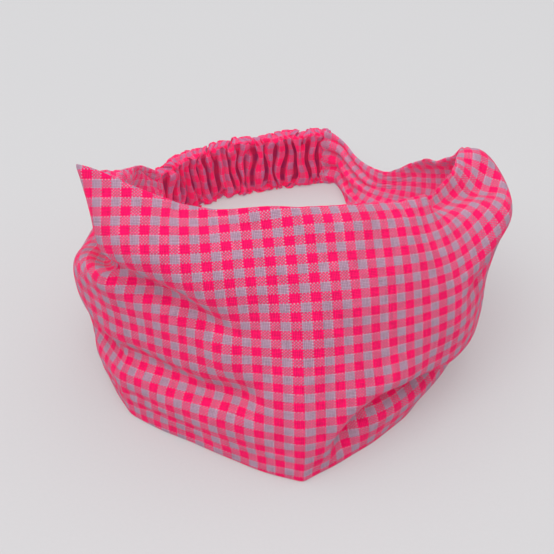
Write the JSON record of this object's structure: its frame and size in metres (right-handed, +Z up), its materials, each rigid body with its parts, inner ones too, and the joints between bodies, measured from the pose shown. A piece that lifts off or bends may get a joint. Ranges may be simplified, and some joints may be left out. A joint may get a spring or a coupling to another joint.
{
  "type": "sports headband",
  "caption": "Wide two-layer cotton sports headband with a creased front panel, tapered ends and a gathered elastic casing at the back, standing on its lower edge.",
  "frame": {"origin": "on the surface that the headband stands on, under the centre of its bounding box", "axes": "+X to the right as the front panel is seen from outside, -Y towards the front panel's centre crease, +Y towards the elastic back, +Z up"},
  "size_m": [0.1448, 0.1866, 0.0871],
  "materials": {
    "gingham_cotton": "matte plain-woven cotton, pink and lavender-grey gingham checks",
    "elastic_webbing": "matte woven elastic, off-white",
    "sewing_thread": "matte polyester thread, pink"
  },
  "bodies": {
    "front_panel": {"front_panel_outer": "gingham_cotton", "front_panel_lining": "gingham_cotton", "upper_edge_seam": "sewing_thread", "lower_edge_seam": "sewing_thread", "left_join_stitches": "sewing_thread", "right_join_stitches": "sewing_thread", "left_elastic_tack": "sewing_thread", "right_elastic_tack": "sewing_thread"},
    "rear_band": {"rear_casing": "gingham_cotton", "rear_elastic": "elastic_webbing", "casing_seam": "sewing_thread"}
  },
  "joints": [
    {"name": "rear_stretch", "type": "slide", "parent": "front_panel", "child": "rear_band", "axis": [0, 1, 0], "range_m": [0, 0.03], "stiffness_N_per_m": 130, "deforming": ["rear_casing", "rear_elastic", "casing_seam"]}
  ]
}
